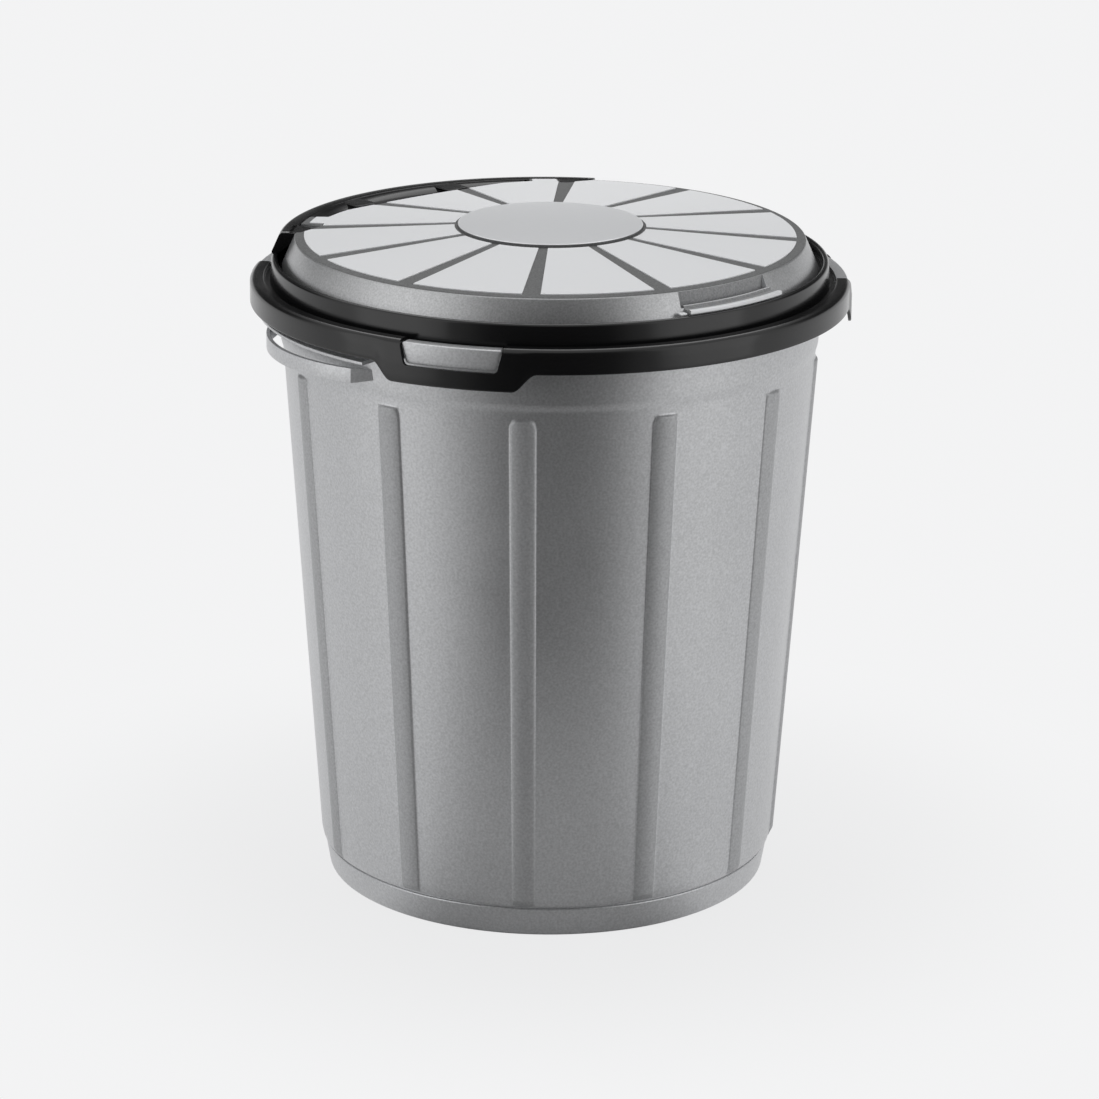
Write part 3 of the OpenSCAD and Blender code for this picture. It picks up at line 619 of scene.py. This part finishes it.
hingeShape = {"side": 42.0, "width": 18.0, "cheek": 3.0, "axisY": 154.0, "axisZ": 456.1,
              "eye": 6.6, "backY": 174.4, "top": 461.85, "plate": 2.4, "plateEdge": 0.6,
              "knuckle": 6.0, "knuckleWidth": 11.2, "knuckleEdge": 0.35, "tailY": 141.9}


# The ring's two brackets and the lid's two knuckles
def hingePieces():
    shape = hingeShape
    axisY, axisZ, top, backY = (shape[key] for key in ("axisY", "axisZ", "top", "backY"))
    eye, knuckle = shape["eye"] / 2, shape["knuckle"] / 2
    cheekSide = [(axisY + eye * cos(radians(a)), axisZ + eye * sin(radians(a)), 0)
                 for a in range(90, 271, 15)]
    cheekSide += [(backY, axisZ - 3.0, 0), (backY, top - 1.0, 0), (axisY + 2.0, top - 1.0, 1.6),
                  (axisY + 2.0, axisZ + eye, 1.0)]
    armSide = [(axisY + knuckle * cos(radians(a)), axisZ + knuckle * sin(radians(a)), 0)
               for a in range(-90, 166, 15)]
    armSide += [(axisY - 3.4, axisZ - 0.42, 0.4), (shape["tailY"], axisZ - 0.42, 0),
                (shape["tailY"], axisZ - 2.58, 0), (axisY - 2.4, axisZ - 2.58, 0.8)]
    brackets, knuckles = bmesh.new(), bmesh.new()
    for hinge in (1, -1):
        centre = hinge * shape["side"]
        for cheek in (1, -1):
            middle = centre + cheek * (shape["width"] - shape["cheek"]) / 2
            start = middle - shape["cheek"] / 2
            joinInto(brackets, sidePlate(cheekSide, start, shape["cheek"]))
        left, right = centre - shape["width"] / 2, centre + shape["width"] / 2
        bridge = bmesh.new()
        slabOf(bridge, rounded([(left, axisY + 1.8, 1.5), (right, axisY + 1.8, 1.5),
                                (right, backY, 0), (left, backY, 0)], 4),
               top - shape["plate"], top, shape["plateEdge"])
        joinInto(brackets, bridge)
        arm = sidePlate(armSide, centre - shape["knuckleWidth"] / 2, shape["knuckleWidth"])
        sharp = [edge for edge in arm.edges if edge.calc_face_angle(0) > 1.2]
        roundEdges(arm, sharp, shape["knuckleEdge"], 2)
        joinInto(knuckles, arm)
    newPiece("ringBrackets", brackets, ringBlack, "ring")
    newPiece("lidKnuckles", knuckles, lidGrey, "lid")


deckShape = {"front": 138.2, "radius": 186.0, "wing": 155.1, "half": 52.4, "low": 439.35,
             "high": 441.45, "edge": 0.4}


# Deck under the hinge bay, level with the ledge inside the collar
def deckPiece():
    shape = deckShape
    wing, half = shape["wing"], shape["half"]
    meet = degrees(acos(shape["front"] / wing))
    outline = [polarOf(shape["radius"], half * k / 40, 0)[:2] for k in range(-40, 41)]
    outline += [polarOf(wing, half + (meet - half) * k / 10, 0)[:2] for k in range(11)]
    outline += [polarOf(wing, -meet - (half - meet) * k / 10, 0)[:2] for k in range(11)]
    bm = bmesh.new()
    slabOf(bm, outline, shape["low"], shape["high"], shape["edge"], 2)
    newPiece("ringDeck", bm, ringBlack, "ring")


ringPiece()
hoodPiece()
hingePieces()
deckPiece()
print("trash can: rim ring ready")


# Lid: cone with a rim, twelve raised panels, a centre disc and a finger pull
lidShape = {"lowR": 187.7, "lowZ": 441.85, "rimR": 178.3, "rimZ": 462.75, "fillet": 2.6,
            "wall": 2.2, "topFrom": 461.5,
            "patternTurn": 1.2, "panels": 12, "panelR": 171.9, "panelRise": 0.8, "panelSink": 0.3,
            "panelEdge": 0.35, "panelClear": 1.5,
            "grooveIn": 6.2, "grooveOut": 12.8, "ringGroove": 2.2,
            "discR": 64.7, "discZ": 468.9, "discRise": 2.6, "crown": 1.75,
            "pullTurn": 1.2, "pullHalf": 12.5, "pullZ": 451.8, "pullR": 192.45, "pullBack": 178.45}


# The top's slope, from the rim to the disc
def lidHeight(radius):
    shape = lidShape
    slope = (shape["rimR"] - radius) * (shape["discZ"] - shape["rimZ"])
    return shape["rimZ"] + slope / (shape["rimR"] - shape["discR"])


def discHeight(radius):
    shape = lidShape
    crown = shape["crown"] * (1 - (radius / shape["discR"]) ** 2)
    return shape["discZ"] + shape["discRise"] + crown


spaceShape = {"low": 436.0, "high": 480.0, "hoodR": 174.7, "hoodTopR": 178.2, "hoodTopZ": 462.8,
              "hoodHalf": 50.3, "bayY": 143.0, "nookTurn": 34.5, "clawRoof": 452.0}


# The spaces that the lid leaves free for the hood, the claws, the hinge and the finger pull
def lidCutters(inset):
    shape, space = lidShape, spaceShape
    low, high, topR = space["low"], space["high"], space["hoodTopR"] - inset
    hood = bmesh.new()
    spinProfile(hood, [(space["hoodR"] - inset, low), (210, low), (210, high), (topR, high),
                       (topR, space["hoodTopZ"])],
                120, 180 - space["hoodHalf"] - inset / 3, 2 * space["hoodHalf"] + inset / 1.5)
    bayY, nookTurn = space["bayY"] - inset, space["nookTurn"] + inset / 2.8
    half = [(0, bayY, 0), (70 + inset / 3, bayY, 4), (80.65 + inset / 2, 139.7 - inset, 2),
            polarOf(164.4 - inset, nookTurn, 0.6), polarOf(173.7, nookTurn, 0),
            polarOf(192, nookTurn, 0), (0, 192, 0)]
    bay = bmesh.new()
    slabOf(bay, rounded(half + [(-x, y, r) for x, y, r in half[-2:0:-1]], 3), low, high)
    cutters = [hood, bay]
    # each claw has a slot through the top and a wider one below it
    for grow, roof in ((1.0, high), (4.6, space["clawRoof"] + inset)):
        more = grow + inset
        plan = [polarOf(183.7, 49.1, 0), polarOf(175.7 - more, 49.7 + more / 3, 0),
                polarOf(163.2 - more, 44 + more / 3, 1), polarOf(163.2 - more, 42.5 - more / 3, 1),
                polarOf(175.7, 41.6 - more / 3, 0), polarOf(183.7, 41.6 - more / 3, 0)]
        for side in (1, -1):
            claw = bmesh.new()
            slabOf(claw, rounded([(side * x, y, r) for x, y, r in plan], 3), low, roof)
            cutters.append(claw)
    pull = bmesh.new()
    floor, back = shape["pullZ"] - (2.2 if inset else 0), shape["pullBack"] - inset
    spinProfile(pull, [(back, floor), (215, floor), (215, floor + 40), (back, floor + 40)],
                40, shape["pullTurn"] - shape["pullHalf"] - inset / 3,
                2 * shape["pullHalf"] + inset / 1.5)
    cutters.append(pull)
    return cutters


def asObject(bm):
    bmesh.ops.remove_doubles(bm, verts=bm.verts, dist=pieceWeld)
    bmesh.ops.recalc_face_normals(bm, faces=bm.faces)
    return objectFrom("rough", bm)


def takeMesh(rough):
    bm = bmesh.new()
    bm.from_mesh(rough.data)
    mesh = rough.data
    bpy.data.objects.remove(rough)
    bpy.data.meshes.remove(mesh)
    return bm


# The lid's body: a solid cone less its hollow and the spaces round it
def lidPiece():
    shape = lidShape
    hollow = bmesh.new()
    spinProfile(hollow, [(0, 466.7), (66.8, 466.7)]
                + rounded([(120, 463.8, 0), (175.0, 460.6, 3), (185.3, 438.0, 0)], 3, loop=False)
                + [(0, 438.0)], 360, loop=False)
    inner = asObject(hollow)
    cutAway(inner, lidCutters(shape["wall"]))
    top = [(0, shape["discZ"]), (shape["discR"], shape["discZ"])]
    top += [(r, lidHeight(r)) for r in (105, 145)]
    edge = rounded([(170, lidHeight(170), 0), (shape["rimR"], shape["rimZ"], shape["fillet"]),
                    (shape["lowR"], shape["lowZ"], 0.5), (184.6, shape["lowZ"], 0.3)],
                   5, loop=False)
    bm = bmesh.new()
    spinProfile(bm, top + edge + [(0, shape["lowZ"])], 360, loop=False)
    piece = newPiece("lidShell", bm, lidGrey, "lid", ("lid",), 30)
    cutAway(piece, lidCutters(0.0), 30)
    cutAway(piece, [takeMesh(inner)], 30)
    for material in (grooveShadeGrey, recessShadeGrey, discSilver):
        piece.data.materials.append(material)
    for face in piece.data.polygons:
        height, out = face.center.z / mm, radiusOf(face.center)
        turn = azimuthOf(face.center) - shape["pullTurn"]
        if face.normal.z > 0.7 and height > shape["topFrom"]:  # the textured top between the panels, darkened with painted shade
            face.material_index = 1
        elif height > shape["pullZ"] + 0.1 and abs(face.normal.z) < 0.3 and 177.5 < out < 187.0:
            atBack = out < shape["pullBack"] + 0.35
            if atBack and abs(turn) < shape["pullHalf"] + 0.1:  # the back of the finger pull, darkened with painted shade
                face.material_index = 2
            elif abs(turn - shape["pullHalf"]) < 0.05:  # the finger pull's right end takes the lighter disc silver: a painted highlight
                face.material_index = 3


# Twelve panels between straight grooves, which are wider at the rim
def panelPieces():
    shape = lidShape
    bm = bmesh.new()
    innerR, outerR = shape["discR"] + shape["ringGroove"], shape["panelR"]
    radii = [innerR + (outerR - innerR) * i / 8 for i in range(9)]
    step = 360 / shape["panels"]
    for k in range(shape["panels"]):
        centre = step * k + shape["patternTurn"]
        panel = bmesh.new()
        spinProfile(panel, [(r, lidHeight(r) - shape["panelSink"]) for r in radii], 30,
                    centre - step / 2, step, loop=False)
        for face in [face for face in panel.faces if len(face.verts) > 4]:
            panel.faces.remove(face)
        for side in (1, -1):
            groove = radians(centre + side * step / 2)
            outward = Vector((sin(groove), -cos(groove), 0))
            across = Vector((cos(groove), sin(groove), 0)) * side
            near = outward * (shape["discR"] - 1) - across * shape["grooveIn"] / 2
            far = outward * (shape["rimR"] + 1) - across * shape["grooveOut"] / 2
            normal = Vector((0, 0, 1)).cross(far - near) * (-side)
            if normal.dot(across) < 0:
                normal = -normal
            bmesh.ops.bisect_plane(panel, geom=panel.verts[:] + panel.edges[:] + panel.faces[:],
                                   dist=cutSlack, plane_co=near * mm, plane_no=normal,
                                   clear_outer=True)
        pushOut(panel, panel.faces[:], (0, 0, shape["panelRise"] + shape["panelSink"]))
        joinInto(bm, panel)
    piece = newPiece("lidPanels", bm, panelSilver, "lid", (), 30)
    cutAway(piece, lidCutters(shape["panelClear"])[:-1], 30)  # all but the finger pull's cutter
    for face in piece.data.polygons:
        face.use_smooth = face.normal.z < 0.9
    bevel = piece.modifiers.new("edge", "BEVEL")
    bevel.width = shape["panelEdge"] * mm
    bevel.segments = 2
    bevel.limit_method = "ANGLE"
    bevel.angle_limit = radians(50)


def discPiece():
    shape = lidShape
    topR, edgeR = 62.4, shape["discR"] - 0.05
    edgeZ = shape["discZ"] + shape["discRise"]
    points = [(r, discHeight(r)) for r in (0, 12, 24, 36, 46, 54, 60)]
    points += rounded([(topR, discHeight(topR), 0), (edgeR, edgeZ + 0.05, 0.7),
                       (edgeR, shape["discZ"] - 0.8, 0)], 5, loop=False)
    points += [(64.0, 467.6), (0, 467.6)]
    bm = bmesh.new()
    spinProfile(bm, points, 240, loop=False)
    piece = newPiece("lidDisc", bm, discSilver, "lid", (), 50)
    piece.data.materials.append(grooveShadeGrey)
    for face in piece.data.polygons:  # the step round the disc takes the dark groove grey: painted shade in place of its highlight
        if face.normal.z < 0.3:
            face.material_index = 1


# Finger pull: a rail at the back, a channel, a lip and a small stop at the left end
def pullPiece():
    shape = lidShape
    bm = bmesh.new()
    floor, lipR, start = shape["pullZ"], shape["pullR"], shape["pullTurn"] - shape["pullHalf"]
    ledge = rounded([(177.6, floor - 2.3, 0), (191.5, floor - 2.8, 0.5), (lipR, floor - 2.3, 0.5),
                     (lipR, floor + 0.3, 0.6), (189.3, floor + 0.3, 0.5),
                     (188.6, floor - 0.6, 0.4), (183.6, floor - 0.6, 0.4),
                     (183.2, floor + 1.5, 0.5), (181.2, floor + 1.5, 0.5),
                     (180.4, floor - 0.2, 0.5), (177.6, floor - 0.2, 0)], 3)
    spinProfile(bm, ledge, 64, start + 0.7, 2 * shape["pullHalf"] + 0.4)
    stop = rounded([(-2.6, floor - 2.9, 0.6), (2.6, floor - 2.9, 0.6), (2.6, floor - 1.5, 0.6),
                    (-2.6, floor - 1.5, 0.6)], 3)
    bentPlate(bm, stop, 186.5, 191.2, start - 0.6, 0.4, 2, 2.0)
    piece = newPiece("lidPull", bm, discSilver, "lid", (), 40)
    piece.data.materials.append(recessShadeGrey)
    for face in piece.data.polygons:  # the channel between the rail and the lip, darkened with painted shade
        if 183.05 < radiusOf(face.center) < 189.0 and face.center.z > (floor - 1.2) * mm:
            face.material_index = 1


lidPiece()
panelPieces()
discPiece()
pullPiece()
print("trash can: lid ready")

pins = bpy.data.objects["hinge_pins"]
pins.data.materials.clear()
pins.data.materials.append(pinBlack)


# Floor, light and camera, with azimuths as on the wall and sizes in metres
studio = {
    "cameraTurn": -39.7, "pale": 0.896, "paleTint": (1.0, 1.002, 1.008),
    "floorRadius": 0.52, "floorDrop": 0.0002, "floorColour": 0.5,
    "shadowShare": 0.88, "shadowReach": (0.17, 0.48), "floorMirrored": (0.6, 0.95),
    "sideTurn": 60.0, "sideAway": 1.9, "sideHeight": 0.75, "sideSize": (1.5, 1.9), "sidePower": 5.0,
    "topAway": 0.9, "topHeight": 1.9, "topSize": (1.6, 1.2), "topPower": 9.0, "aimHeight": 0.25,
    "around": [(0.0, 0.6), (0.25, 0.62), (0.42, 0.85), (0.58, 1.0), (0.78, 1.0), (0.9, 0.4),
               (0.965, 0.06), (1.0, 0.03)],
    "horizon": (0.04, 0.2), "backFrom": (-0.6, -0.15), "backDim": 0.9,
    "overheadFrom": (0.45, 0.73), "overheadShift": 0.2, "shiftFrom": (-0.2, 0.3), "topLevel": 0.96,
    "paleBehind": (-0.3, 0.1),
}


def mathNode(tree, operation, first, second):
    node = tree.nodes.new("ShaderNodeMath")
    node.operation = operation
    for place, value in enumerate((first, second)):
        if isinstance(value, float):
            node.inputs[place].default_value = value
        else:
            tree.links.new(value, node.inputs[place])
    return node.outputs[0]


def vectorNode(tree, operation, source, second=None):
    node = tree.nodes.new("ShaderNodeVectorMath")
    node.operation = operation
    tree.links.new(source, node.inputs[0])
    if second:
        node.inputs[1].default_value = second
    return node


# How far a direction or a place lies towards the camera's side, from -1 to 1
def towardFront(tree, source):
    turn = radians(studio["cameraTurn"])
    level = vectorNode(tree, "MULTIPLY", source, (1.0, 1.0, 0.0))
    unit = vectorNode(tree, "NORMALIZE", level.outputs["Vector"])
    facing = vectorNode(tree, "DOT_PRODUCT", unit.outputs["Vector"], (sin(turn), -cos(turn), 0.0))
    return facing.outputs["Value"]


# Rays from the camera see the pale backdrop, and so do gloss and glass where it stands
def paleShare(tree, standing):
    light = tree.nodes.new("ShaderNodeLightPath")
    shine = mathNode(tree, "MAXIMUM", light.outputs["Is Glossy Ray"],
                     light.outputs["Is Transmission Ray"])
    mirrored = mathNode(tree, "MULTIPLY", shine, standing)
    return mathNode(tree, "MAXIMUM", light.outputs["Is Camera Ray"], mirrored)


def paleColour():
    return (*[studio["pale"] * tint for tint in studio["paleTint"]], 1)


# One shader where the share is 0 and the other where it is 1, into the output
def mixedShaders(tree, share, first, second, out):
    mix = tree.nodes.new("ShaderNodeMixShader")
    tree.links.new(share, mix.inputs["Fac"])
    tree.links.new(first.outputs[0], mix.inputs[1])
    tree.links.new(second.outputs[0], mix.inputs[2])
    tree.links.new(mix.outputs["Shader"], out.inputs["Surface"])


def floorMaterial():
    material = bpy.data.materials.new("floorPale")
    material.use_nodes = True
    tree = material.node_tree
    tree.nodes.clear()
    out = tree.nodes.new("ShaderNodeOutputMaterial")
    diffuse = tree.nodes.new("ShaderNodeBsdfDiffuse")
    diffuse.inputs["Color"].default_value = (*[studio["floorColour"]] * 3, 1)
    glow = tree.nodes.new("ShaderNodeEmission")
    glow.inputs["Color"].default_value = paleColour()
    place = tree.nodes.new("ShaderNodeTexCoord").outputs["Object"]
    reach = vectorNode(tree, "LENGTH", place).outputs["Value"]
    fade = rangeNode(tree, reach, *studio["shadowReach"], studio["shadowShare"], 1.0)
    behind = rangeNode(tree, towardFront(tree, place), *studio["floorMirrored"], 1.0, 0.0)
    share = mathNode(tree, "MULTIPLY", paleShare(tree, behind), fade)
    mixedShaders(tree, share, diffuse, glow, out)
    return material


def studioStage():
    bm = bmesh.new()
    bmesh.ops.create_circle(bm, cap_ends=True, segments=128, radius=studio["floorRadius"])
    bmesh.ops.translate(bm, verts=bm.verts, vec=(0, 0, -studio["floorDrop"]))
    floor = objectFrom("floorDisc", bm)
    floor.data.materials.append(floorMaterial())


def softBox(name, azimuth, away, height, size, power):
    lamp = bpy.data.lights.new(name, "AREA")
    lamp.shape = "RECTANGLE"
    lamp.size, lamp.size_y = size
    lamp.energy = power
    place = onWall(away / mm, azimuth, height / mm)
    toward = Vector((0, 0, studio["aimHeight"])) - place
    turned = toward.to_track_quat("-Z", "Y").to_matrix().to_4x4()
    lampObject = bpy.data.objects.new(name, lamp)
    lampObject.matrix_world = Matrix.Translation(place) @ turned
    bpy.context.scene.collection.objects.link(lampObject)


# Bright at both sides, dark towards the camera, dim high up behind and bright overhead
def studioWorld():
    world = bpy.data.worlds.new("studioWorld")
    bpy.context.scene.world = world
    world.use_nodes = True
    tree = world.node_tree
    tree.nodes.clear()
    out = tree.nodes.new("ShaderNodeOutputWorld")
    place = tree.nodes.new("ShaderNodeTexCoord").outputs["Generated"]
    front = towardFront(tree, place)
    split = tree.nodes.new("ShaderNodeSeparateXYZ")
    tree.links.new(place, split.inputs[0])
    up = split.outputs["Z"]
    half = mathNode(tree, "MULTIPLY", mathNode(tree, "ADD", front, 1.0), 0.5)
    ramp = rampNode(tree, half, [(at, (level, level, level)) for at, level in studio["around"]])
    ramp.color_ramp.interpolation = "EASE"
    raised = rangeNode(tree, up, *studio["horizon"])
    back = rangeNode(tree, front, *studio["backFrom"], studio["backDim"], 0.0)
    dim = mathNode(tree, "SUBTRACT", 1.0, mathNode(tree, "MULTIPLY", raised, back))
    level = mathNode(tree, "MULTIPLY", ramp.outputs["Color"], dim)
    # the light overhead reaches lower down behind
    shift = rangeNode(tree, front, *studio["shiftFrom"], 0.0, studio["overheadShift"])
    overhead = rangeNode(tree, mathNode(tree, "SUBTRACT", up, shift), *studio["overheadFrom"])
    below = mathNode(tree, "MULTIPLY", level, mathNode(tree, "SUBTRACT", 1.0, overhead))
    above = mathNode(tree, "MULTIPLY", overhead, studio["topLevel"])
    around = tree.nodes.new("ShaderNodeBackground")
    tree.links.new(mathNode(tree, "ADD", below, above), around.inputs["Color"])
    seen = tree.nodes.new("ShaderNodeBackground")
    seen.inputs["Color"].default_value = paleColour()
    low = mathNode(tree, "SUBTRACT", 1.0, raised)
    behind = rangeNode(tree, front, *studio["paleBehind"], 1.0, 0.0)
    share = paleShare(tree, mathNode(tree, "MULTIPLY", low, behind))
    mixedShaders(tree, share, around, seen, out)


def studioLight():
    camera = studio["cameraTurn"]
    side = [studio[key] for key in ("sideAway", "sideHeight", "sideSize", "sidePower")]
    softBox("leftBox", camera - studio["sideTurn"], *side)
    softBox("rightBox", camera + studio["sideTurn"], *side)
    top = [studio[key] for key in ("topAway", "topHeight", "topSize", "topPower")]
    softBox("topBox", camera + 180, *top)
    studioWorld()


photoView = {"place": (-1.9104, -2.3027, 1.179), "turn": -39.7, "tilt": 72.44, "roll": 0.43,
             "lens": 143.87, "sensor": 36, "near": 0.1, "far": 50}


# The camera fitted to the photograph
def photoCamera():
    view = photoView
    lens = bpy.data.cameras.new("photoCamera")
    lens.lens, lens.sensor_width, lens.sensor_fit = view["lens"], view["sensor"], "HORIZONTAL"
    lens.clip_start, lens.clip_end = view["near"], view["far"]
    camera = bpy.data.objects.new("photoCamera", lens)
    turned = Matrix.Translation(view["place"])
    for angle, axis in (("turn", "Z"), ("tilt", "X"), ("roll", "Z")):
        turned = turned @ Matrix.Rotation(radians(view[angle]), 4, axis)
    camera.matrix_world = turned
    bpy.context.scene.collection.objects.link(camera)
    bpy.context.scene.camera = camera


studioStage()
studioLight()
photoCamera()
bpy.context.scene.view_settings.view_transform = "Standard"
print("trash can: stage, light and camera ready")
